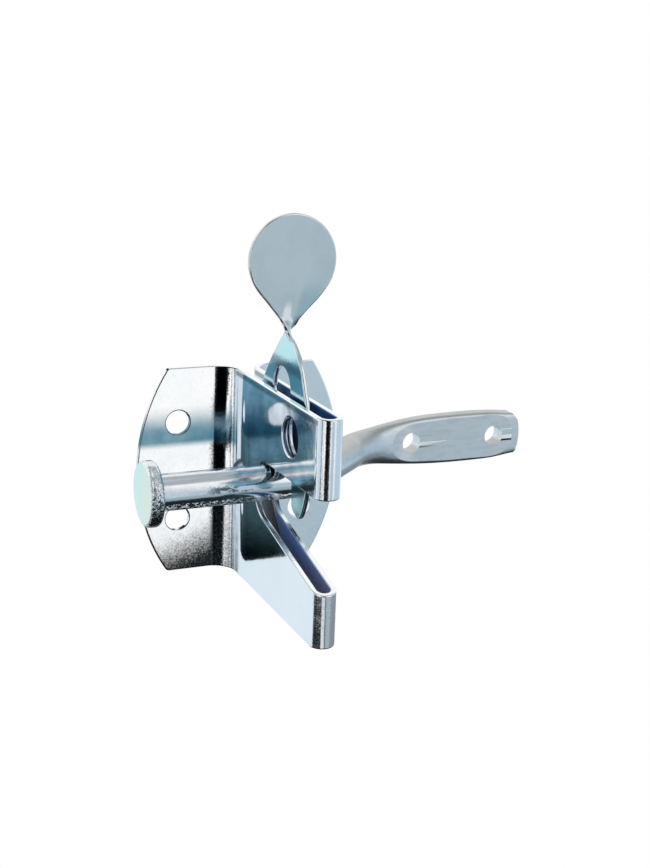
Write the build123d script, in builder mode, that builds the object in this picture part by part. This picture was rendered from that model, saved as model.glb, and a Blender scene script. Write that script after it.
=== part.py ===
"""Automatic gate latch: a folded sheet latch for the post, its swinging lever, the pivot rivet,
and the strike bar for the gate.

Frame, in millimetres: X runs along the strike bar, +Y goes into the post, +Z is up.
The origin is the centre of the mounting plane, at the back of the two flanges.
"""
import os
from math import asin, atan, cos, pi, radians, sin, sqrt, tan

from build123d import *

os.makedirs("parts", exist_ok=True)

# ---- folded latch body -------------------------------------------------------
SHEET = 2.1            # sheet thickness
PLATE_H = 76.0         # height of the flanges
FLANGE_CORNER_X = 27.8 # half width across the flanges at the top and bottom corners
FLANGE_MID_X = 39.1    # half width across the flanges at mid height
FLANGE_CORNER_R = 1.6
FLANGE_HOLE_DX = 48.0  # spacing of the four fixing holes
FLANGE_HOLE_DZ = 36.0
FLANGE_HOLE_D = 8.8
CASE_HALF = 4.4        # half of the outside width across the two cheeks
CASE_DEPTH = 83.2      # mounting plane to the front of the bend
FOLD_R = 8.0           # front radius of the folds between flange and cheek
CASE_FOOT_DROP = 1.2   # the foot of the case falls this much towards the front
EDGE_R = 0.5           # rounding of the cut sheet edges

# ---- throat for the strike bar -------------------------------------------------
JAW_Z = 11.4           # lower edge of the upper jaw
THROAT_R = 10.4        # rounded end of the throat
THROAT_Y = -38.2
RAMP_SLOPE = 0.239     # fall of the lower jaw towards the front, mm per mm

# ---- padlock hole, lever holes, pivot ---------------------------------------------
PADLOCK_Y, PADLOCK_Z, PADLOCK_D = -58.1, 26.1, 13.5
PIVOT_Y, PIVOT_Z = -13.8, 1.0
PIVOT_D = 6.0
PIVOT_BORE_D = 6.12    # running fit in the lever
RIVET_HEAD_R, RIVET_HEAD_H = 5.0, 2.8
RIVET_RIM = 0.2        # the head's rim stands off the cheek by this much, clear of the fold

# ---- lever ---------------------------------------------------------------------
LEVER_T = 1.8
LEVER_X = -0.25        # middle plane of the lever
LEVER_EDGE_R = 0.6     # tumbled edges
LEVER_SEAT_Z = 10.65   # lower edge of the lever, just over the strike bar
BOSS_R = 8.4           # round end about the pivot
CROOK_R = 5.0          # hollow between that end and the arm
LEVER_PADLOCK_Y, LEVER_PADLOCK_Z, LEVER_PADLOCK_D = -57.1, 26.0, 16.0
PULL_Y, PULL_Z, PULL_D = -42.1, 38.8, 14.6
NECK_Z0, NECK_Z1 = 54.0, 66.0    # start and end of the quarter twist
PAD_X, PAD_Y, PAD_Z, PAD_R = 0.0, -45.8, 82.2, 15.4

# ---- strike bar ------------------------------------------------------------------
BAR_D = 12.7
BAR_Y, BAR_Z = -36.2, 4.0        # axis of the round part
HEAD_R = 11.3
HEAD_X0, HEAD_X1 = -47.7, -42.9  # edge of the domed face, back of the head
HEAD_DOME = 1.2
FLAT_T = 6.5                     # thickness of the forged flat
FLAT_HALF_H = 9.6                # half height of the forged flat
FLAT_END_X = 115.7
BAR_HOLE_X = (68.1, 104.3)
BAR_HOLE_D = 8.0
MARK_DEPTH, MARK_RUN = 0.7, 2.8  # press mark beside the first hole, and its run-out angle
JOG_DEG = 41.8                   # turn of the two bends
JOG_CORNER_X = 11.5              # where the two straight axes meet
BEND_R = 15.0                    # bend radius on the axis
JOG_END_X = 38.0                 # start of the forging


def sharp_edges(part, keep):
    """Edges where two faces meet at about a right angle, filtered by their middle point."""
    owner = {}
    for face in part.faces():
        for edge in face.edges():
            owner.setdefault(edge, []).append(face)
    found = []
    for edge, faces in owner.items():
        if len(faces) != 2:
            continue
        middle = edge.position_at(0.5)
        turn = faces[0].normal_at(middle).get_angle(faces[1].normal_at(middle))
        if 60 < turn < 120 and keep(middle):
            found.append(edge)
    return found


# ============================ folded latch body ====================================
fold_c = CASE_HALF + FOLD_R                 # fold centre, from the middle
bend_y = -(CASE_DEPTH - CASE_HALF)          # centre of the front bend
inner = CASE_HALF - SHEET
q = sqrt(0.5)

with BuildPart() as latch_body:
    with BuildSketch(Plane.XY.offset(-PLATE_H / 2 - 4)):
        with BuildLine():
            ThreePointArc((0, bend_y - CASE_HALF), (-CASE_HALF * q, bend_y - CASE_HALF * q), (-CASE_HALF, bend_y))
            Line((-CASE_HALF, bend_y), (-CASE_HALF, -SHEET - FOLD_R))
            ThreePointArc((-CASE_HALF, -SHEET - FOLD_R), (-fold_c + FOLD_R * q, -SHEET - FOLD_R + FOLD_R * q), (-fold_c, -SHEET))
            Polyline((-fold_c, -SHEET), (-FLANGE_MID_X - 2, -SHEET), (-FLANGE_MID_X - 2, 0), (-fold_c, 0))
            ThreePointArc((-fold_c, 0), (-fold_c + (FOLD_R + SHEET) * q, -SHEET - FOLD_R + (FOLD_R + SHEET) * q), (-inner, -SHEET - FOLD_R))
            Line((-inner, -SHEET - FOLD_R), (-inner, bend_y))
            ThreePointArc((-inner, bend_y), (-inner * q, bend_y - inner * q), (0, bend_y - inner))
            mirror(about=Plane.YZ)
        make_face()
    extrude(amount=PLATE_H + 4)

    # outline of the flanges: straight top and bottom, bowed sides
    with BuildSketch(Plane.XZ.offset(-5)):
        Rectangle(140, 140)
        with BuildLine():
            top = Line((-FLANGE_CORNER_X, PLATE_H / 2), (FLANGE_CORNER_X, PLATE_H / 2))
            ThreePointArc((FLANGE_CORNER_X, PLATE_H / 2), (FLANGE_MID_X, 0), (FLANGE_CORNER_X, -PLATE_H / 2))
            Line((FLANGE_CORNER_X, -PLATE_H / 2), (-FLANGE_CORNER_X, -PLATE_H / 2))
            ThreePointArc((-FLANGE_CORNER_X, -PLATE_H / 2), (-FLANGE_MID_X, 0), (-FLANGE_CORNER_X, PLATE_H / 2))
        make_face(mode=Mode.SUBTRACT)
        Rectangle(40, 139, mode=Mode.SUBTRACT)
    extrude(amount=20, mode=Mode.SUBTRACT)

    # foot of the flanges and of the case
    with BuildSketch(Plane.YZ.offset(-60)):
        with BuildLine():
            Polyline((5, -PLATE_H / 2), (-SHEET - FOLD_R, -PLATE_H / 2), (-CASE_DEPTH - 5, -PLATE_H / 2 - CASE_FOOT_DROP),
                     (-CASE_DEPTH - 5, -PLATE_H), (5, -PLATE_H), (5, -PLATE_H / 2))
        make_face()
    extrude(amount=120, mode=Mode.SUBTRACT)

    corners = [e for e in latch_body.edges().filter_by(Axis.Y)
               if abs(abs(e.center().X) - FLANGE_CORNER_X) < 0.3 and abs(e.center().Z) > PLATE_H / 2 - 1]
    fillet(corners, radius=FLANGE_CORNER_R)

    # throat: level upper jaw, rounded end, ramped lower jaw
    throat_z = JAW_Z - THROAT_R
    ramp = atan(RAMP_SLOPE)
    ramp_start = (THROAT_Y + THROAT_R * sin(ramp), throat_z - THROAT_R * cos(ramp))
    mouth_y = -CASE_DEPTH - 4
    ramp_end = (mouth_y, ramp_start[1] + (mouth_y - ramp_start[0]) * RAMP_SLOPE)
    with BuildSketch(Plane.YZ.offset(-20)):
        with BuildLine():
            ThreePointArc((THROAT_Y, JAW_Z), (THROAT_Y + THROAT_R, throat_z), ramp_start)
            Polyline(ramp_start, ramp_end, (mouth_y, JAW_Z), (THROAT_Y, JAW_Z))
        make_face()
    extrude(amount=40, mode=Mode.SUBTRACT)

    # padlock hole and rivet hole through both cheeks
    with BuildSketch(Plane.YZ.offset(-20)):
        with Locations((PADLOCK_Y, PADLOCK_Z)):
            Circle(PADLOCK_D / 2)
        with Locations((PIVOT_Y, PIVOT_Z)):
            Circle(PIVOT_D / 2)
    extrude(amount=40, mode=Mode.SUBTRACT)

    # fixing holes
    with BuildSketch(Plane.XZ.offset(-5)):
        with GridLocations(FLANGE_HOLE_DX, FLANGE_HOLE_DZ, 2, 2):
            Circle(FLANGE_HOLE_D / 2)
    extrude(amount=20, mode=Mode.SUBTRACT)

    # broken edges, except at the rivet holes
    fillet(sharp_edges(latch_body.part, lambda p: sqrt((p.Y - PIVOT_Y) ** 2 + (p.Z - PIVOT_Z) ** 2) > PIVOT_D), radius=EDGE_R)

latch_body.part.label = "latch_body"

# ============================ pivot rivet ==========================================
dome_h = RIVET_HEAD_H - RIVET_RIM
dome_r = (RIVET_HEAD_R ** 2 + dome_h ** 2) / (2 * dome_h)
half_angle = asin(RIVET_HEAD_R / dome_r) / 2
rivet_plane = Plane(origin=(0, PIVOT_Y, PIVOT_Z), x_dir=(1, 0, 0), z_dir=(0, -1, 0))
with BuildPart() as pivot_rivet:
    with BuildSketch(rivet_plane):
        with BuildLine():
            tip = CASE_HALF + RIVET_HEAD_H
            middle = (tip - dome_r + dome_r * cos(half_angle), dome_r * sin(half_angle))
            Polyline((0, 0), (0, PIVOT_D / 2), (CASE_HALF, PIVOT_D / 2), (CASE_HALF, PIVOT_D / 2 + 0.5), (CASE_HALF + RIVET_RIM, RIVET_HEAD_R))
            ThreePointArc((CASE_HALF + RIVET_RIM, RIVET_HEAD_R), middle, (tip, 0))
            Line((tip, 0), (0, 0))
        make_face()
    revolve(axis=Axis((0, PIVOT_Y, PIVOT_Z), (1, 0, 0)))
    mirror(about=Plane.YZ)
pivot_rivet.part.label = "pivot_rivet"

# ============================ lever =================================================
# quarter twist: height, angle, width, centre x, centre y, slope of the front (left) edge, slope of the back (right) edge
TWIST = [(55.1, 0, 11.57, LEVER_X, -45.285, 1.3, 1.0), (55.5, 0.2, 10.65, -0.255, -45.225, 1.3, 1.0),
         (56.1, 1.8, 9.28, -0.29, -45.135, 1.25, 1.0), (56.8, 5.2, 7.8, -0.41, -45.05, 1.1, 0.95), (57.4, 10, 6.65, -0.55, -45.0, 0.9, 0.8),
         (58.0, 15, 5.9, -0.65, -45.05, 0.6, 0.5), (58.5, 21, 5.5, -0.68, -45.15, 0.4, 0.3), (59.1, 31, 5.3, -0.62, -45.3, 0.2, 0.1),
         (59.7, 42.5, 5.25, -0.51, -45.48, 0, 0), (60.2, 52, 5.35, -0.45, -45.65, 0.1, 0), (60.7, 61, 5.5, -0.41, -45.75, 0.3, 0.1),
         (61.3, 70, 5.8, -0.41, -45.8, 0.5, 0.2), (61.9, 77, 6.2, -0.43, -45.8, 0.6, 0.4), (62.6, 83, 6.85, -0.46, -45.8, 0.7, 0.6),
         (63.4, 87.4, 7.9, -0.47, -45.8, 0.8, 0.8), (64.1, 89.5, 9.05, -0.44, -45.8, 0.84, 0.96), (64.7, 90, 10.11, -0.403, -45.8, 0.84, 0.96)]
plate_front, plate_back = (-52.5, 1.3), (-38.4, 1.0)      # edge of the plate at the start of the twist, and its slope
pad_left, pad_right = (-6.55, 0.84), (5.9, 0.96)          # edge of the pad at the end of the twist, and its slope
RUN, CUT = 1.6, 0.8                                       # the edges run on straight this far, and the sheet is cut here

# hollow between the arm and the boss round the pivot
crook_drop = LEVER_SEAT_Z - CROOK_R - PIVOT_Z
crook_y = PIVOT_Y - sqrt((BOSS_R + CROOK_R) ** 2 - crook_drop ** 2)
crook_end = (PIVOT_Y + (crook_y - PIVOT_Y) * BOSS_R / (BOSS_R + CROOK_R), PIVOT_Z + crook_drop * BOSS_R / (BOSS_R + CROOK_R))
boss_end = (PIVOT_Y + BOSS_R * cos(radians(10)), PIVOT_Z + BOSS_R * sin(radians(10)))

with BuildPart() as latch_lever:
    # flat plate between the cheeks: arm to the pivot, body, hook in the throat, taper to the neck
    with BuildSketch(Plane.YZ.offset(LEVER_X - LEVER_T / 2)):
        with BuildLine():
            front_top = (plate_front[0] + RUN * plate_front[1], NECK_Z0 + RUN)
            back_top = (plate_back[0] - RUN * plate_back[1], NECK_Z0 + RUN)
            Line(front_top, (plate_front[0], NECK_Z0))
            Spline((plate_front[0], NECK_Z0), (-54.7, 52.0), (-57.7, 48.2), (-60.0, 43.6), (-62.9, 37.0),
                   tangents=((-plate_front[1], -1), (-0.43, -1)))
            Spline((-62.9, 37.0), (-65.9, 29.8), (-67.2, 22.0), (-66.6, 15.0), (-65.0, 8.6), tangents=((-0.43, -1), (0.26, -1)))
            Spline((-65.0, 8.6), (-63.7, 4.6), (-62.0, 0.9), (-60.5, -1.3), (-58.9, -2.2), (-56.6, -1.75), (-54.3, -0.8),
                   (-53.1, 0.6), (-52.8, 2.6), tangents=((0.26, -1), (0.06, 1)))
            Line((-52.8, 2.6), (-52.4, LEVER_SEAT_Z - 1.5))
            ThreePointArc((-52.4, LEVER_SEAT_Z - 1.5), (-51.95, LEVER_SEAT_Z - 0.45), (-50.9, LEVER_SEAT_Z))
            Line((-50.9, LEVER_SEAT_Z), (crook_y, LEVER_SEAT_Z))
            ThreePointArc((crook_y, LEVER_SEAT_Z), (crook_y + CROOK_R * q, LEVER_SEAT_Z - CROOK_R + CROOK_R * q), crook_end)
            ThreePointArc(crook_end, (PIVOT_Y, PIVOT_Z - BOSS_R), boss_end)
            Spline(boss_end, (-8.0, 9.2), (-15.2, 25.0), (-24.8, 38.2), (-31.2, 46.4), (-34.7, 50.2),
                   (plate_back[0], NECK_Z0), tangents=((-sin(radians(10)), cos(radians(10))), (-plate_back[1], 1)))
            Polyline((plate_back[0], NECK_Z0), back_top, front_top)
        make_face()
        with Locations((PIVOT_Y, PIVOT_Z)):
            Circle(PIVOT_BORE_D / 2, mode=Mode.SUBTRACT)
        with Locations((LEVER_PADLOCK_Y, LEVER_PADLOCK_Z)):
            Circle(LEVER_PADLOCK_D / 2, mode=Mode.SUBTRACT)
        with Locations((PULL_Y, PULL_Z)):
            Circle(PULL_D / 2, mode=Mode.SUBTRACT)
    extrude(amount=LEVER_T)
    fillet(sharp_edges(latch_lever.part, lambda p: p.Z < NECK_Z0 + RUN - 0.01 and sqrt((p.Y - PIVOT_Y) ** 2 + (p.Z - PIVOT_Z) ** 2) > PIVOT_D),
           radius=LEVER_EDGE_R)
    split(bisect_by=Plane.XY.offset(NECK_Z0 + CUT), keep=Keep.BOTTOM)
latch_lever_plate = latch_lever.part

with BuildPart() as thumb_pad:
    with BuildSketch(Plane.XZ.offset(-(PAD_Y + LEVER_T / 2))):
        with BuildLine():
            a_left, a_right = radians(214), radians(-38)
            p_left = (PAD_X + PAD_R * cos(a_left), PAD_Z + PAD_R * sin(a_left))
            p_right = (PAD_X + PAD_R * cos(a_right), PAD_Z + PAD_R * sin(a_right))
            left_end = (pad_left[0] + RUN * pad_left[1], NECK_Z1 - RUN)
            right_end = (pad_right[0] - RUN * pad_right[1], NECK_Z1 - RUN)
            ThreePointArc(p_left, (PAD_X, PAD_Z + PAD_R), p_right)
            left_start, right_start = (pad_left[0], NECK_Z1), (pad_right[0], NECK_Z1)
            Spline(p_right, (8.9, 68.9), right_start, tangents=((-sin(radians(38)), -cos(radians(38))), (-pad_right[1], -1)))
            Polyline(right_start, right_end, left_end, left_start)
            Spline(left_start, (-8.35, 68.2), p_left, tangents=((-pad_left[1], 1), (-sin(radians(34)), cos(radians(34)))))
        make_face()
    extrude(amount=LEVER_T)
    fillet(sharp_edges(thumb_pad.part, lambda p: p.Z > NECK_Z1 - RUN + 0.01), radius=LEVER_EDGE_R)
    split(bisect_by=Plane.XY.offset(NECK_Z1 - CUT), keep=Keep.TOP)

with BuildPart() as neck:
    add(latch_lever_plate.faces().filter_by(Plane.XY).sort_by(Axis.Z)[-1])
    for z, turn, width, cx, cy, slope_a, slope_b in TWIST:
        t = radians(turn)
        h, e = LEVER_T / 2, LEVER_EDGE_R
        ra, rb = e * sqrt(1 + slope_a ** 2), e * sqrt(1 + slope_b ** 2)     # the rounding as the level section cuts it
        a, b = width / 2, -width / 2
        with BuildSketch(Plane(origin=(cx, cy, z), x_dir=(-sin(t), -cos(t), 0), z_dir=(0, 0, 1))):
            with BuildLine():
                Line((b + rb, -h), (a - ra, -h))
                EllipticalCenterArc((a - ra, -h + e), ra, e, start_angle=-90, arc_size=90)
                Line((a, -h + e), (a, h - e))
                EllipticalCenterArc((a - ra, h - e), ra, e, start_angle=0, arc_size=90)
                Line((a - ra, h), (b + rb, h))
                EllipticalCenterArc((b + rb, h - e), rb, e, start_angle=90, arc_size=90)
                Line((b, h - e), (b, -h + e))
                EllipticalCenterArc((b + rb, -h + e), rb, e, start_angle=180, arc_size=90)
            make_face()
    add(thumb_pad.part.faces().filter_by(Plane.XY).sort_by(Axis.Z)[0])
    loft()

with BuildPart() as lever_joined:
    add(latch_lever_plate)
    add(neck.part)
    add(thumb_pad.part)
lever_joined.part.label = "latch_lever"

# ============================ strike bar ============================================
r = BAR_D / 2
jog = radians(JOG_DEG)
arc_x = JOG_CORNER_X - BEND_R * tan(jog / 2)    # the bar is straight up to here
arc_end = (arc_x + BEND_R * sin(jog), BAR_Y + BEND_R * (1 - cos(jog)))
jog_end = (JOG_END_X, BAR_Y + (JOG_END_X - JOG_CORNER_X) * tan(jog))


def oval(half_h, half_t, power, count=32):
    """Evenly spaced points of a rounded section; local x across the bar, local y up."""
    fine = []
    for i in range(2001):
        a = 2 * pi * i / 2000
        c, s = cos(a), sin(a)
        fine.append((half_t * (abs(c) ** (2 / power)) * (1 if c >= 0 else -1), half_h * (abs(s) ** (2 / power)) * (1 if s >= 0 else -1)))
    run = [0.0]
    for a, b in zip(fine, fine[1:]):
        run.append(run[-1] + sqrt((b[0] - a[0]) ** 2 + (b[1] - a[1]) ** 2))
    pts, k = [], 0
    for i in range(count):
        while run[k + 1] < run[-1] * i / count:
            k += 1
        f = (run[-1] * i / count - run[k]) / (run[k + 1] - run[k])
        pts.append((fine[k][0] + f * (fine[k + 1][0] - fine[k][0]), fine[k][1] + f * (fine[k + 1][1] - fine[k][1])))
    return pts


# x, y of the section centre, turn of the section, half height, half thickness, squareness
mid = -FLAT_T / 2
proud = FLAT_T / 2 + 0.36       # the sides bulge past the pressed faces, which are cut flat below
FORGED = [(42.5, -9.1, 32, 6.4, 6.2, 2.0), (47.0, -6.95, 21, 6.62, 5.75, 2.1), (52.0, -5.45, 12.5, 7.0, 5.0, 2.35),
          (57.0, -4.55, 6.5, 7.6, 4.35, 2.8), (62.0, -3.95, 2.5, 8.2, 3.9, 3.5), (67.5, -3.45, 0.5, 8.75, 3.68, 4.4),
          (74.0, mid, 0, 9.25, proud, 5.0), (84.0, mid, 0, FLAT_HALF_H, proud, 5.4),
          (97.0, mid, 0, FLAT_HALF_H, proud, 5.6), (106.5, mid, 0, 9.1, proud, 5.6),
          (FLAT_END_X + 0.6, mid, 0, 8.0, proud, 5.6)]

with BuildPart() as striker_bar:
    # upset head: shallow dome, rounded rim
    with BuildSketch(Plane(origin=(0, BAR_Y, BAR_Z), x_dir=(1, 0, 0), z_dir=(0, -1, 0))):
        with BuildLine():
            ThreePointArc((HEAD_X0 - HEAD_DOME, 0), (HEAD_X0 - HEAD_DOME * 0.71, 5.4), (HEAD_X0, HEAD_R - 1.2))
            ThreePointArc((HEAD_X0, HEAD_R - 1.2), (HEAD_X0 + 0.5, HEAD_R - 0.42), (HEAD_X0 + 1.6, HEAD_R))
            Line((HEAD_X0 + 1.6, HEAD_R), (HEAD_X1 - 1.6, HEAD_R))
            ThreePointArc((HEAD_X1 - 1.6, HEAD_R), (HEAD_X1 - 0.47, HEAD_R - 0.47), (HEAD_X1, HEAD_R - 1.6))
            Line((HEAD_X1, HEAD_R - 1.6), (HEAD_X1 + 0.15, r + 0.9))
            ThreePointArc((HEAD_X1 + 0.15, r + 0.9), (HEAD_X1 + 0.45, r + 0.25), (HEAD_X1 + 1.1, r))
            Polyline((HEAD_X1 + 1.1, r), (HEAD_X1 + 1.1, 0), (HEAD_X0 - HEAD_DOME, 0))
        make_face()
    revolve(axis=Axis((0, BAR_Y, BAR_Z), (1, 0, 0)))

    # round bar, first bend and slanted run
    with BuildLine() as bar_path:
        p1 = (HEAD_X1 + 1.1, BAR_Y, BAR_Z)
        Line(p1, (arc_x, BAR_Y, BAR_Z))
        ThreePointArc((arc_x, BAR_Y, BAR_Z),
                      (arc_x + BEND_R * sin(jog / 2), BAR_Y + BEND_R * (1 - cos(jog / 2)), BAR_Z),
                      (arc_end[0], arc_end[1], BAR_Z))
        Line((arc_end[0], arc_end[1], BAR_Z), (jog_end[0], jog_end[1], BAR_Z))
    with BuildSketch(Plane(origin=p1, x_dir=(0, 1, 0), z_dir=(1, 0, 0))):
        Circle(r)
    sweep(path=bar_path.line)

with BuildPart() as forged_flat:
    with BuildSketch(Plane(origin=(jog_end[0], jog_end[1], BAR_Z), x_dir=(-sin(jog), cos(jog), 0), z_dir=(cos(jog), sin(jog), 0))):
        Circle(r)
    for x, y, turn, half_h, half_t, power in FORGED:
        t = radians(turn)
        with BuildSketch(Plane(origin=(x, y, BAR_Z), x_dir=(-sin(t), cos(t), 0), z_dir=(cos(t), sin(t), 0))):
            with BuildLine():
                Spline(oval(half_h, half_t, power), periodic=True)
            make_face()
    loft()

    # pressed faces: flat back, flat front that runs out towards the bend
    with BuildSketch(Plane.XY.offset(BAR_Z - 15)):
        with BuildLine():
            Polyline((62, 0), (130, 0), (130, 5), (62, 5), (62, 0))
        make_face()
        with BuildLine():
            Line((130, -FLAT_T), (72, -FLAT_T))
            Spline((72, -FLAT_T), (66.5, -FLAT_T - 0.28), (61.5, -FLAT_T - 1.25), (57.0, -FLAT_T - 2.9), tangents=((-1, 0), (-1, -0.5)))
            Polyline((57.0, -FLAT_T - 2.9), (57.0, -FLAT_T - 10), (130, -FLAT_T - 10), (130, -FLAT_T))
        make_face()
    extrude(amount=30, mode=Mode.SUBTRACT)

    # shallow press mark in the front face, outward from the first hole, running out to nothing
    t = radians(MARK_RUN)
    with BuildSketch(Plane(origin=(70, -FLAT_T, BAR_Z), x_dir=(sin(t), cos(t), 0), z_dir=(cos(t), -sin(t), 0))):
        with BuildLine():
            Polyline((-1, 2.5), (0, 2.5), (MARK_DEPTH, 2.2), (MARK_DEPTH, -0.2), (0.1, -1.5), (0.45, -2.0), (0, -2.35), (-1, -2.35), (-1, 2.5))
        make_face()
    extrude(amount=16, mode=Mode.SUBTRACT)

    # two fixing holes
    with BuildSketch(Plane.XZ.offset(-8)):
        with Locations((BAR_HOLE_X[0], BAR_Z), (BAR_HOLE_X[1], BAR_Z)):
            Circle(BAR_HOLE_D / 2)
    extrude(amount=30, mode=Mode.SUBTRACT)

    # bowed end with rounded corners
    with BuildSketch(Plane.XZ.offset(-8)):
        with BuildLine():
            ThreePointArc((108.0, BAR_Z + 12), (FLAT_END_X - 2.55, BAR_Z + 7.75), (FLAT_END_X - 0.75, BAR_Z + 5.4))
            ThreePointArc((FLAT_END_X - 0.75, BAR_Z + 5.4), (FLAT_END_X, BAR_Z), (FLAT_END_X - 1.05, BAR_Z - 7.0))
            ThreePointArc((FLAT_END_X - 1.05, BAR_Z - 7.0), (FLAT_END_X - 1.8, BAR_Z - 8.3), (110.5, BAR_Z - 12))
            Polyline((110.5, BAR_Z - 12), (130, BAR_Z - 12), (130, BAR_Z + 12), (108.0, BAR_Z + 12))
        make_face()
    extrude(amount=30, mode=Mode.SUBTRACT)

with BuildPart() as bar_joined:
    add(striker_bar.part)
    add(forged_flat.part)
bar_joined.part.label = "striker_bar"

for name, piece in (("latch_body", latch_body), ("pivot_rivet", pivot_rivet), ("latch_lever", lever_joined), ("striker_bar", bar_joined)):
    export_step(piece.part, "parts/" + name + ".step")
    box = piece.part.bounding_box()
    print(name, "solids", len(piece.part.solids()), "volume", round(piece.part.volume, 1),
          "box", [round(v, 2) for v in (*box.min, *box.max)])
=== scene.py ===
import bpy
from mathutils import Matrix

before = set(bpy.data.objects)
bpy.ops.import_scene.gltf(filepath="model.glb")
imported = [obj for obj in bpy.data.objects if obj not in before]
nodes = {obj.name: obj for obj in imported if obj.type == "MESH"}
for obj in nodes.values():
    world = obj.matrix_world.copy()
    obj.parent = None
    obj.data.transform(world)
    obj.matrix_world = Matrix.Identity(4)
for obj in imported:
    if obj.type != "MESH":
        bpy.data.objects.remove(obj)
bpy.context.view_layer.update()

import bpy, bmesh, math
from mathutils import Vector, Matrix

scene = bpy.context.scene

# ------------------------------------------------------------------ camera
AZ, EL, ROLL = math.radians(-24.4920), math.radians(15.5340), math.radians(2.0620)
FOCAL_PX, DIST, SHIFT_R, SHIFT_U = 1440.803, 0.508496, 0.021174, 0.018126
back = Vector((math.sin(AZ) * math.cos(EL), -math.cos(AZ) * math.cos(EL), math.sin(EL)))
right = Vector((math.cos(AZ), math.sin(AZ), 0.0))
up = back.cross(right)
cam_x = right * math.cos(ROLL) + up * math.sin(ROLL)
cam_y = up * math.cos(ROLL) - right * math.sin(ROLL)
place = Vector((0.0, -0.025, 0.0)) + right * SHIFT_R + up * SHIFT_U + back * DIST
data = bpy.data.cameras.new("camera")
data.sensor_fit = "AUTO"
data.sensor_width = 36.0
data.lens = FOCAL_PX * 36.0 / 868.0
data.clip_start, data.clip_end = 0.01, 20.0
camera = bpy.data.objects.new("camera", data)
scene.collection.objects.link(camera)
m = Matrix.Identity(4)
for i, axis in enumerate((cam_x, cam_y, back)):
    m[0][i], m[1][i], m[2][i] = axis
m.translation = place
camera.matrix_world = m
scene.camera = camera


# ------------------------------------------------------------------ node helpers
class Graph:
    """Short calls for building a node tree."""

    def __init__(self, tree):
        self.tree = tree
        tree.nodes.clear()

    def add(self, kind, **props):
        n = self.tree.nodes.new(kind)
        for k, v in props.items():
            setattr(n, k, v)
        return n

    def link(self, a, b):
        self.tree.links.new(a, b)

    def put(self, socket, value):
        if hasattr(value, "links"):
            self.link(value, socket)
        elif value is not None:
            socket.default_value = value

    def math(self, op, a, b=None, c=None, clamp=False):
        n = self.add("ShaderNodeMath", operation=op, use_clamp=clamp)
        for s, v in zip(n.inputs, (a, b, c)):
            self.put(s, v)
        return n.outputs[0]

    def vmath(self, op, a, b=None, scale=None):
        n = self.add("ShaderNodeVectorMath", operation=op)
        self.put(n.inputs[0], a)
        self.put(n.inputs[1], b)
        if scale is not None:
            self.put(n.inputs["Scale"], scale)
        return n.outputs["Value"] if op in ("DOT_PRODUCT", "LENGTH") else n.outputs[0]

    def ramp(self, fac, a, b, lo=0.0, hi=1.0, smooth=True):
        n = self.add("ShaderNodeMapRange", interpolation_type="SMOOTHSTEP" if smooth else "LINEAR")
        self.put(n.inputs[0], fac)
        for s, v in zip(n.inputs[1:5], (a, b, lo, hi)):
            s.default_value = v
        return n.outputs[0]

    def band(self, x, a, b, c, d, hi=1.0):
        """Rises from a to b and falls from c to d."""
        return self.math("MULTIPLY", self.ramp(x, a, b, 0.0, hi), self.ramp(x, d, c))

    def mix(self, fac, a, b, blend="MIX"):
        n = self.add("ShaderNodeMix", data_type="RGBA", blend_type=blend)
        self.put(n.inputs[0], fac)
        self.put(n.inputs[6], (*a, 1.0) if isinstance(a, tuple) and len(a) == 3 else a)
        self.put(n.inputs[7], (*b, 1.0) if isinstance(b, tuple) and len(b) == 3 else b)
        return n.outputs[2]

    def curve(self, x, points):
        """Straight pieces through (x, value) points."""
        total = None
        for (xa, va), (xb, vb) in zip(points, points[1:]):
            step = self.ramp(x, xa, xb, 0.0, vb - va, smooth=False)
            total = self.math("ADD", step, points[0][1] if total is None else total)
        return total

    def split(self, vec):
        n = self.add("ShaderNodeSeparateXYZ")
        self.link(vec, n.inputs[0])
        return n.outputs

    def noise(self, vec, scale, detail=2.0, rough=0.5, distortion=0.0):
        n = self.add("ShaderNodeTexNoise")
        self.put(n.inputs["Vector"], vec)
        for k, v in (("Scale", scale), ("Detail", detail), ("Roughness", rough), ("Distortion", distortion)):
            n.inputs[k].default_value = v
        return n.outputs["Fac"]


# ------------------------------------------------------------------ light
world = bpy.data.worlds.new("studio")
scene.world = world
world.use_nodes = True
world.cycles.sampling_method = "NONE"
g = Graph(world.node_tree)
ray = g.add("ShaderNodeTexCoord").outputs["Generated"]
sep = g.add("ShaderNodeSeparateXYZ")
g.link(ray, sep.inputs[0])
# azimuth in degrees: 0 in front of the part, 90 on its right, +-180 behind it; elevation in degrees
azimuth = g.math("MULTIPLY", g.math("ARCTAN2", sep.outputs[0], g.math("MULTIPLY", sep.outputs[1], -1.0)), 180.0 / math.pi)
elevation = g.math("MULTIPLY", g.math("ARCSINE", sep.outputs[2]), 180.0 / math.pi)


def around(stops):
    """Colours by azimuth, -180 to 180."""
    n = g.add("ShaderNodeValToRGB")
    n.color_ramp.interpolation = "EASE"
    g.link(g.ramp(azimuth, -180.0, 180.0, smooth=False), n.inputs[0])
    cr = n.color_ramp
    while len(cr.elements) > 1:
        cr.elements.remove(cr.elements[-1])
    for k, (az, c) in enumerate(stops):
        e = cr.elements[0] if k == 0 else cr.elements.new((az + 180.0) / 360.0)
        e.position = (az + 180.0) / 360.0
        e.color = (*c, 1.0)
    return n.outputs[0]


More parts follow.
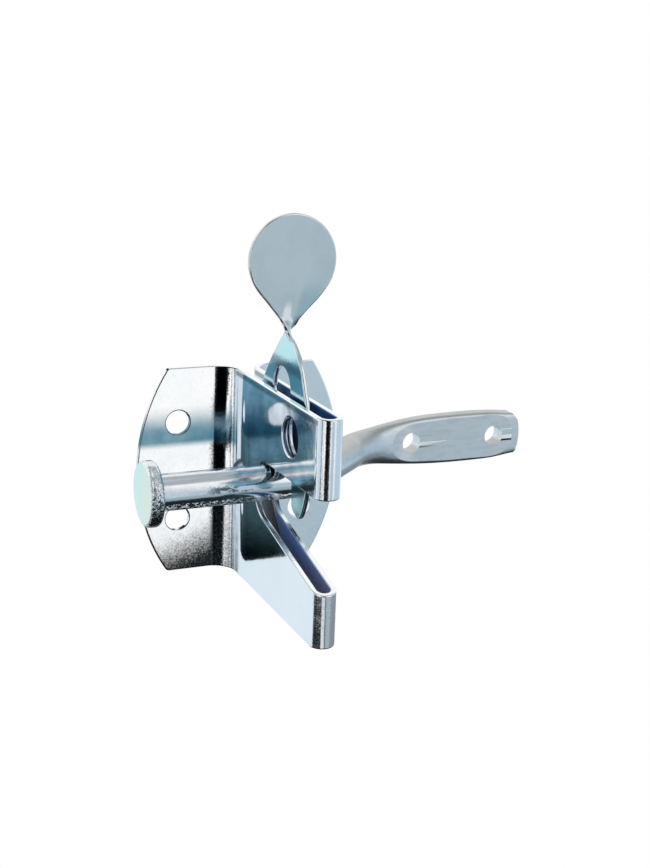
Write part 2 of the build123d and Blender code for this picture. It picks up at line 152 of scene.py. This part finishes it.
BLACK = (0.012, 0.018, 0.022)
WHITE = (1.0, 1.0, 1.0)
GREY = (0.22, 0.26, 0.28)
BLUE = (0.44, 0.55, 0.62)
CYAN = (0.74, 0.84, 0.90)
low = around([(-180, CYAN), (-125, CYAN), (-108, (0.66, 0.76, 0.84)), (-86, (0.60, 0.70, 0.80)), (-80, GREY), (-76, (0.10, 0.13, 0.15)), (-72, WHITE),
              (-63, WHITE), (-58, GREY), (-54, WHITE), (-28, WHITE), (-23, BLACK), (0, BLACK), (4, (0.85, 0.88, 0.9)), (13, (0.85, 0.88, 0.9)),
              (19, BLUE), (34, BLUE), (39, (0.85, 0.9, 0.95)), (47, (0.8, 0.85, 0.9)), (58, (0.50, 0.62, 0.72)), (95, (0.48, 0.62, 0.74)),
              (125, CYAN), (180, CYAN)])
high = around([(-180, WHITE), (-110, WHITE), (-92, (0.45, 0.5, 0.55)), (-74, (0.25, 0.3, 0.33)), (-60, WHITE), (-34, WHITE), (-26, (0.10, 0.13, 0.15)),
               (2, (0.10, 0.13, 0.15)), (14, (0.45, 0.52, 0.56)), (24, WHITE), (48, WHITE), (62, (0.34, 0.40, 0.46)), (95, (0.5, 0.56, 0.62)),
               (118, WHITE), (180, WHITE)])
under = around([(-180, CYAN), (-112, CYAN), (-98, BLACK), (-32, BLACK), (-26, (0.7, 0.75, 0.8)), (-6, (0.7, 0.75, 0.8)), (2, (0.1, 0.12, 0.14)),
                (17, (0.34, 0.43, 0.48)), (38, (0.34, 0.43, 0.48)), (60, (0.24, 0.27, 0.31)), (130, (0.24, 0.27, 0.31)), (150, CYAN), (180, CYAN)])
base = g.mix(g.ramp(elevation, 0.0, 14.0), low, high)
base = g.mix(g.ramp(elevation, -18.0, -22.0), base, under)
base = g.mix(g.ramp(elevation, 46.0, 58.0), base, (0.42, 0.46, 0.49))     # grey ceiling
base = g.mix(g.ramp(elevation, 70.0, 80.0), base, (0.95, 0.97, 1.0))      # overhead box
base = g.mix(g.ramp(elevation, -33.0, -42.0), base, (0.014, 0.019, 0.024))  # dark table
path = g.add("ShaderNodeLightPath")
# seen by way of a second face: the teal studio wall in front, and the table close under it
wall = g.mix(g.ramp(elevation, -13.4, -15.8), (0.165, 0.370, 0.500), (0.045, 0.095, 0.110))
seen = g.math("MAXIMUM", g.band(azimuth, -138.0, -118.0, -84.0, -78.0), g.band(azimuth, -31.0, -22.0, 22.0, 30.0))
second = g.mix(seen, base, wall)
table = g.math("MULTIPLY", g.ramp(elevation, -19.0, -23.0), g.math("MULTIPLY", g.ramp(azimuth, -134.0, -122.0), g.ramp(azimuth, 70.0, 60.0)))
second = g.mix(table, second, (0.016, 0.034, 0.040))
base = g.mix(g.math("GREATER_THAN", path.outputs["Ray Depth"], 2.5), base, second)
base = g.mix(path.outputs["Is Camera Ray"], base, (1.0, 1.0, 1.0))
bg = g.add("ShaderNodeBackground")
g.link(base, bg.inputs["Color"])
bg.inputs["Strength"].default_value = 1.0
g.link(bg.outputs[0], g.add("ShaderNodeOutputWorld").inputs[0])

# ------------------------------------------------------------------ floor
mesh = bpy.data.meshes.new("floor")
mesh.from_pydata([(-3, -3, -0.30), (3, -3, -0.30), (3, 3, -0.30), (-3, 3, -0.30)], [], [(0, 1, 2, 3)])
floor = bpy.data.objects.new("floor", mesh)
scene.collection.objects.link(floor)
floor.visible_glossy = False
mat = bpy.data.materials.new("floor_white")
mat.use_nodes = True
g2 = Graph(mat.node_tree)
glow = g2.add("ShaderNodeEmission")
glow.inputs["Color"].default_value = (1.0, 1.0, 1.0, 1.0)
glow.inputs["Strength"].default_value = 1.0
g2.link(glow.outputs[0], g2.add("ShaderNodeOutputMaterial").inputs[0])
mesh.materials.append(mat)


# ------------------------------------------------------------------ zinc
def zinc(name, tint_a, tint_b, rough_lo, rough_hi, wave=0.00025, grain=0.000012, stretch=(1, 1, 1), seed=0.0, part=None):
    """Bright zinc plating: softly mottled and slightly wavy, with the marks of one part and its painted reflections and
    shade.
    """
    mat = bpy.data.materials.new(name)
    mat.use_nodes = True
    g = Graph(mat.node_tree)
    pos = g.add("ShaderNodeTexCoord").outputs["Object"]
    geometry = g.add("ShaderNodeNewGeometry")
    normal, true_normal = geometry.outputs["Normal"], geometry.outputs["True Normal"]
    x, y, z = g.split(pos)[:3]
    n = g.split(normal)
    shift = g.vmath("ADD", pos, (seed, seed * 0.7, seed * 1.3))
    drawn = g.vmath("MULTIPLY", shift, tuple(stretch))
    cloud = g.noise(shift, 60.0, 3.0, 0.55)
    spangle = g.noise(drawn, 700.0, 3.0, 0.6)
    fine = g.noise(drawn, 2600.0, 2.0, 0.6)
    speck = g.math("SUBTRACT", g.noise(shift, 1700.0, 3.0, 0.7), 0.5)
    tone = g.mix(g.ramp(cloud, 0.35, 0.65), tint_a, tint_b)
    tone = g.mix(g.ramp(spangle, 0.55, 0.75, 0.0, 0.25), tone, tuple(c * 0.86 for c in tint_a))
    rough = g.math("ADD", g.ramp(cloud, 0.3, 0.7, rough_lo, rough_hi, False), g.ramp(spangle, 0.3, 0.75, -0.02, 0.04, False))
    metal, bend, coarse, calm = 1.0, None, None, None

    if part == "case":      # the pressed sheet is not quite flat: the left flange leans in, and both folds run out softly
        theta = g.math("MULTIPLY", g.math("ARCSINE", g.math("MINIMUM", g.math("ABSOLUTE", n[0]), 1.0)), 180.0 / math.pi)
        left = g.math("LESS_THAN", x, -0.0042)
        facing = g.math("GREATER_THAN", g.math("MULTIPLY", g.split(true_normal)[1], -1.0), 0.98)
        flange = g.math("MULTIPLY", facing, left)
        outer = g.math("MULTIPLY", g.ramp(n[1], 0.3, 0.1), g.ramp(n[0], 0.5, 0.3))
        at_fold = g.math("MULTIPLY", g.math("MULTIPLY", left, outer), g.ramp(y, -0.0215, -0.0115))
        turn = g.curve(theta, [(0, -43.0), (13.0, -30.0), (15.0, 5.5), (43, 22.5), (58, 21.5), (84, 21.5), (90, 29.0)])
        turn = g.math("ADD", turn, g.math("MULTIPLY", speck, g.band(theta, 30, 48, 60, 80, 10.0)))
        turn = g.math("MULTIPLY", turn, at_fold)
        phi = g.math("MULTIPLY", g.math("ARCSINE", g.math("MAXIMUM", g.math("MINIMUM", n[0], 1.0), -1.0)), 180.0 / math.pi)
        front = g.curve(phi, [(-48, 0.0), (-38, 7.0), (-30, 12.0), (-11, 6.0), (0, 5.0), (20, 3.0), (40, 0.0)])
        front = g.math("ADD", front, g.math("MULTIPLY", speck, 6.0))
        front = g.math("MULTIPLY", front, g.math("MULTIPLY", g.ramp(y, -0.0786, -0.0790), g.ramp(z, -0.004, 0.0)))
        front = g.math("MULTIPLY", front, g.ramp(n[1], 0.1, -0.1))
        turn = g.math("MULTIPLY", g.math("ADD", turn, front), math.pi / 180.0)
        # turned about the upright axis by that angle, and tipped up a little
        bend = g.vmath("SCALE", g.vmath("CROSS_PRODUCT", (0.0, 0.0, 1.0), normal), scale=g.math("SINE", turn))
        bend = g.vmath("ADD", bend, g.vmath("SCALE", normal, scale=g.math("SUBTRACT", g.math("COSINE", turn), 1.0)))
        tip = g.add("ShaderNodeCombineXYZ")
        g.link(g.math("MULTIPLY", flange, 0.03), tip.inputs[2])
        bend = g.vmath("ADD", bend, tip.outputs[0])
        calm = g.math("SUBTRACT", 1.0, g.math("MULTIPLY", g.ramp(n[0], -0.95, -0.99), 0.8))
        # painted reflections: a teal band across the flange, and dark mottling along its foot and in the fold
        teal_reflection_band = g.math("MULTIPLY", g.ramp(z, 0.0248, 0.0140), g.ramp(z, 0.0082, 0.0114))
        teal_reflection_band = g.math("MULTIPLY", teal_reflection_band, g.math("MULTIPLY", g.math("MULTIPLY", left, outer), g.ramp(y, -0.0112, -0.0080)))
        tone = g.mix(g.math("MULTIPLY", teal_reflection_band, g.ramp(cloud, 0.3, 0.7, 0.80, 1.0)), tone, (0.07, 0.23, 0.31))
        # painted dark reflection: the flange turns mottled near black towards its foot
        foot = g.math("ADD", z, g.math("MULTIPLY", g.math("SUBTRACT", -0.0124, x), 0.35))
        foot = g.ramp(g.math("ADD", foot, g.math("MULTIPLY", speck, 0.020)), -0.0175, -0.0345)
        tone = g.mix(g.math("MULTIPLY", foot, flange), tone, (0.015, 0.018, 0.020))
        # painted dark reflection: a mottled black band down the fold, lighter where the teal band crosses it
        wobble = g.math("ADD", theta, g.math("MULTIPLY", speck, 24.0))
        wobble = g.math("ADD", wobble, g.ramp(z, 0.0360, 0.0180, -7.0, 3.0))
        dark = g.math("MULTIPLY", g.ramp(wobble, 5.0, 19.0), g.ramp(wobble, 48.0, 43.0))
        dark = g.math("MULTIPLY", dark, g.math("MULTIPLY", at_fold, g.math("SUBTRACT", 1.0, g.math("MULTIPLY", teal_reflection_band, 0.8))))
        tone = g.mix(dark, tone, g.mix(g.ramp(speck, 0.02, 0.16), (0.014, 0.017, 0.019), (0.10, 0.12, 0.13)))
        # painted patchy darkening of the cheek's reflections
        cheek = g.math("MULTIPLY", g.ramp(n[0], -0.95, -0.99), g.math("MULTIPLY", left, g.ramp(y, -0.015, -0.024)))
        cheek = g.math("MULTIPLY", cheek, g.ramp(g.math("SUBTRACT", z, g.math("MULTIPLY", y, 0.26)), 0.002, 0.014))
        drift = g.noise(shift, 85.0, 1.0, 0.5)
        tone = g.mix(g.math("MULTIPLY", cheek, g.ramp(drift, 0.38, 0.62, 0.60, 0.0)), tone, (0.50, 0.50, 0.56))
        brow = g.math("MULTIPLY", g.ramp(n[0], -0.95, -0.99), g.band(g.math("ADD", z, g.math("MULTIPLY", speck, 0.0012)), 0.0350, 0.0362, 0.0370, 0.0376))
        tone = g.mix(g.math("MULTIPLY", brow, 0.75), tone, (0.16, 0.19, 0.22))
        # the narrow inside of the case keeps a dull blue cast: the plating's blue tint under painted shade of the
        # enclosed gap, navy high up, lavender low on the lower jaw, made partly non-metallic and rougher
        reach = g.add("ShaderNodeCombineXYZ")
        g.link(x, reach.inputs[0])
        g.link(g.math("MINIMUM", g.math("ADD", y, 0.0788), 0.0), reach.inputs[1])
        deep = g.math("MULTIPLY", g.ramp(g.vmath("LENGTH", reach.outputs[0]), 0.0027, 0.0023), g.math("MAXIMUM", g.ramp(y, -0.020, -0.030), g.math("MULTIPLY", g.ramp(z, 0.0, -0.002), g.ramp(y, -0.012, -0.016))))
        wall = g.math("MULTIPLY", g.ramp(g.math("ABSOLUTE", n[0]), 0.4, 0.2), g.ramp(y, -0.0785, -0.0770))
        deep = g.math("MULTIPLY", deep, g.math("SUBTRACT", 1.0, wall))
        cast = g.mix(g.ramp(z, 0.006, -0.004), (0.030, 0.105, 0.310), (0.20, 0.36, 0.74))
        cast = g.mix(g.ramp(z, -0.012, -0.027), cast, (0.36, 0.32, 0.44))
        # at the root of the lower jaw a pale wedge of painted light lies between the blue and a painted black shade
        # behind it
        drop = g.math("SUBTRACT", -0.004, z)
        pale = g.ramp(g.math("ADD", g.math("ADD", y, 0.0308), g.math("MULTIPLY", drop, 0.22)), -0.0003, 0.0003)
        shade = g.ramp(g.math("ADD", g.math("ADD", y, 0.0268), g.math("MULTIPLY", drop, 0.78)), -0.0003, 0.0003)
        low = g.ramp(z, 0.0, -0.002)
        cast = g.mix(g.math("MULTIPLY", low, pale), cast, (0.85, 0.86, 0.90))
        cast = g.mix(g.math("MULTIPLY", low, shade), cast, (0.012, 0.018, 0.035))
        tone = g.mix(deep, tone, cast)
        # the black band down the upper front bend, a painted dark reflection
        face = g.math("MULTIPLY", g.math("MULTIPLY", g.ramp(y, -0.0786, -0.0790), g.ramp(z, 0.0, 0.004)), g.ramp(n[1], 0.1, -0.1))
        edge = g.math("ADD", phi, g.math("MULTIPLY", speck, 12.0))
        tone = g.mix(g.math("MULTIPLY", face, g.band(edge, -38.0, -34.0, -18.0, -14.0)), tone, (0.12, 0.13, 0.13))
        dull = g.math("MULTIPLY", deep, g.math("SUBTRACT", 1.0, g.math("MULTIPLY", low, g.math("MAXIMUM", pale, shade))))
        metal = g.math("SUBTRACT", 1.0, g.math("MULTIPLY", dull, 0.75))
        rough = g.math("ADD", rough, g.math("MULTIPLY", deep, 0.25))

    if part == "lever":     # the upright plate has a teal cast
        plate = g.math("MULTIPLY", g.ramp(g.math("ABSOLUTE", n[0]), 0.8, 0.95), g.ramp(z, 0.060, 0.056))
        tone = g.mix(plate, tone, g.mix(g.ramp(z, 0.0470, 0.0440), (0.64, 0.92, 0.94), (0.42, 0.66, 0.70)))
        mottle = g.math("ADD", z, g.math("MULTIPLY", speck, 0.006))
        edge = g.math("MULTIPLY", g.ramp(mottle, 0.0440, 0.0462), g.ramp(mottle, 0.0500, 0.0478))
        tone = g.mix(g.math("MULTIPLY", g.math("MULTIPLY", edge, plate), 0.8), tone, (0.08, 0.17, 0.20))
        # painted shade: a darker teal patch on the lower right of the pad, where it twists into the neck
        foot = g.math("MULTIPLY", g.band(g.math("SUBTRACT", x, g.math("MULTIPLY", g.math("SUBTRACT", z, 0.064), 0.25)), 0.0, 0.0025, 0.0060, 0.0110), g.band(z, 0.0600, 0.0630, 0.0690, 0.0770))
        tone = g.mix(g.math("MULTIPLY", foot, 0.65), tone, (0.44, 0.62, 0.66))
        crease = g.math("MULTIPLY", g.band(g.math("SUBTRACT", x, g.math("MULTIPLY", g.math("SUBTRACT", z, 0.064), 0.15)), -0.0045, -0.0025, -0.0015, 0.0008), g.band(z, 0.0600, 0.0625, 0.0650, 0.0720))
        crease = g.math("MULTIPLY", crease, g.math("GREATER_THAN", g.math("MULTIPLY", n[1], -1.0), 0.6))
        bend = g.vmath("SCALE", g.vmath("CROSS_PRODUCT", (0.0, 0.0, 1.0), normal), scale=g.math("MULTIPLY", crease, 0.17))

    if part == "bar":       # turned rod, rough-edged head, dull forging
        radius = g.add("ShaderNodeCombineXYZ")
        g.link(g.math("ADD", y, 0.0362), radius.inputs[0])
        g.link(g.math("SUBTRACT", z, 0.004), radius.inputs[1])
        radius = g.vmath("LENGTH", radius.outputs[0])
        head = g.math("MULTIPLY", g.ramp(x, -0.0405, -0.0425), g.ramp(radius, 0.0092, 0.0102))
        blotch = g.noise(shift, 950.0, 3.0, 0.65)
        tone = g.mix(g.math("MULTIPLY", head, g.math("MULTIPLY", g.ramp(blotch, 0.50, 0.56), g.ramp(z, 0.0125, 0.0050, 0.25, 1.0))), tone, (0.16, 0.17, 0.17))
        face = g.mix(g.ramp(y, -0.0250, -0.0340), (0.40, 1.0, 0.97), (0.74, 0.99, 0.91))
        face = g.mix(g.ramp(y, -0.0330, -0.0440), face, (0.92, 0.94, 0.83))
        tone = g.mix(g.ramp(n[0], -0.80, -0.95), tone, g.mix(g.ramp(x, -0.0300, -0.0400), tone, face))
        rod = g.math("MULTIPLY", g.ramp(x, -0.0425, -0.0415), g.ramp(x, 0.012, 0.008))
        # a mottled dark teal band along the rod's upper front, between head and case
        mottled_rod_band = g.band(g.math("ADD", z, g.math("MULTIPLY", speck, 0.004)), 0.0034, 0.0044, 0.0054, 0.0064)
        mottled_rod_band = g.math("MULTIPLY", g.math("MULTIPLY", mottled_rod_band, g.band(x, -0.030, -0.022, -0.014, -0.006)), g.ramp(spangle, 0.47, 0.54))
        tone = g.mix(g.math("MULTIPLY", mottled_rod_band, 0.9), tone, (0.04, 0.09, 0.12))
        # flakes under the rod, and the press mark beside the second hole
        under = g.math("MULTIPLY", rod, g.math("MULTIPLY", g.ramp(n[2], -0.38, -0.52), g.ramp(n[1], -0.10, -0.25)))
        flake = g.noise(g.vmath("MULTIPLY", shift, (0.6, 1.0, 1.0)), 1500.0, 3.0, 0.7)
        lift = g.math("MULTIPLY", g.math("MULTIPLY", under, g.ramp(flake, 0.52, 0.58)), 1.1)
        across = g.math("SUBTRACT", z, 0.004)
        edge = g.band(across, -0.0017, -0.0014, -0.0003, 0.0001, 0.42)
        edge = g.math("ADD", edge, g.band(across, 0.0020, 0.0022, 0.0024, 0.0026, 0.30))
        edge = g.math("SUBTRACT", edge, g.band(across, -0.0025, -0.0022, -0.0019, -0.0016, 0.80))
        edge = g.math("MULTIPLY", edge, g.math("MULTIPLY", g.ramp(n[1], -0.90, -0.97), g.band(x, 0.1060, 0.1064, 0.1124, 0.1127)))
        rise = g.add("ShaderNodeCombineXYZ")
        g.link(g.math("ADD", lift, edge), rise.inputs[2])
        bend = rise.outputs[0]
        coarse = g.math("ADD", g.math("MULTIPLY", head, g.ramp(z, 0.0130, 0.0040, 0.00008, 0.00040)), g.math("MULTIPLY", g.math("MULTIPLY", rod, g.ramp(z, 0.0020, -0.0004)), 0.00020))
        forged = g.ramp(x, 0.014, 0.024)
        rough = g.math("ADD", g.math("MULTIPLY", rough, g.math("SUBTRACT", 1.0, forged)), g.math("MULTIPLY", forged, g.ramp(cloud, 0.3, 0.7, 0.30, 0.38)))
        tone = g.mix(forged, tone, g.mix(g.ramp(spangle, 0.4, 0.7), (0.80, 0.84, 0.86), (0.72, 0.77, 0.79)))
        # painted shade: the up-facing slopes of the forged end are darker grey
        tone = g.mix(g.math("MULTIPLY", forged, g.ramp(n[2], 0.35, 0.75)), tone, (0.52, 0.54, 0.53))

    bump_a = g.add("ShaderNodeBump")
    bump_a.inputs["Strength"].default_value = 1.0
    bump_a.inputs["Distance"].default_value = wave
    g.link(g.noise(shift, 70.0, 2.0, 0.45), bump_a.inputs["Height"])
    if bend is not None:
        g.link(g.vmath("NORMALIZE", g.vmath("ADD", normal, bend)), bump_a.inputs["Normal"])
    last = bump_a.outputs[0]
    if coarse is not None:
        bump_c = g.add("ShaderNodeBump")
        bump_c.inputs["Strength"].default_value = 1.0
        g.link(coarse, bump_c.inputs["Distance"])
        g.link(g.noise(shift, 1300.0, 2.0, 0.6), bump_c.inputs["Height"])
        g.link(last, bump_c.inputs["Normal"])
        last = bump_c.outputs[0]
    bump_b = g.add("ShaderNodeBump")
    bump_b.inputs["Strength"].default_value = 1.0
    bump_b.inputs["Distance"].default_value = grain
    if calm is not None:
        g.link(g.math("MULTIPLY", calm, grain), bump_b.inputs["Distance"])
    g.link(g.math("ADD", g.math("MULTIPLY", spangle, 2.2), fine), bump_b.inputs["Height"])
    g.link(last, bump_b.inputs["Normal"])
    p = g.add("ShaderNodeBsdfPrincipled")
    g.put(p.inputs["Metallic"], metal)
    g.link(tone, p.inputs["Base Color"])
    g.link(rough, p.inputs["Roughness"])
    g.link(bump_b.outputs[0], p.inputs["Normal"])
    g.link(p.outputs[0], g.add("ShaderNodeOutputMaterial").inputs[0])
    return mat


zinc_sheet = zinc("zinc_sheet", (0.96, 0.975, 0.99), (0.92, 0.95, 0.97), 0.05, 0.11, wave=0.00012, seed=0.3, part="case")
zinc_lever = zinc("zinc_lever", (0.84, 0.87, 0.87), (0.76, 0.80, 0.80), 0.10, 0.18, wave=0.00012, seed=1.1, part="lever")
zinc_rivet = zinc("zinc_rivet", (0.58, 0.58, 0.56), (0.50, 0.51, 0.50), 0.16, 0.24, seed=2.1)
zinc_bar = zinc("zinc_bar", (0.90, 0.92, 0.94), (0.84, 0.88, 0.91), 0.08, 0.15, wave=0.00008, stretch=(0.3, 1, 1), seed=3.7, part="bar")
for node, mat in (("latch_body", zinc_sheet), ("latch_lever", zinc_lever), ("pivot_rivet", zinc_rivet), ("striker_bar", zinc_bar)):
    o = nodes[node]
    o.data.materials.clear()
    o.data.materials.append(mat)

scene.view_settings.view_transform = "Standard"
scene.view_settings.look = "None"
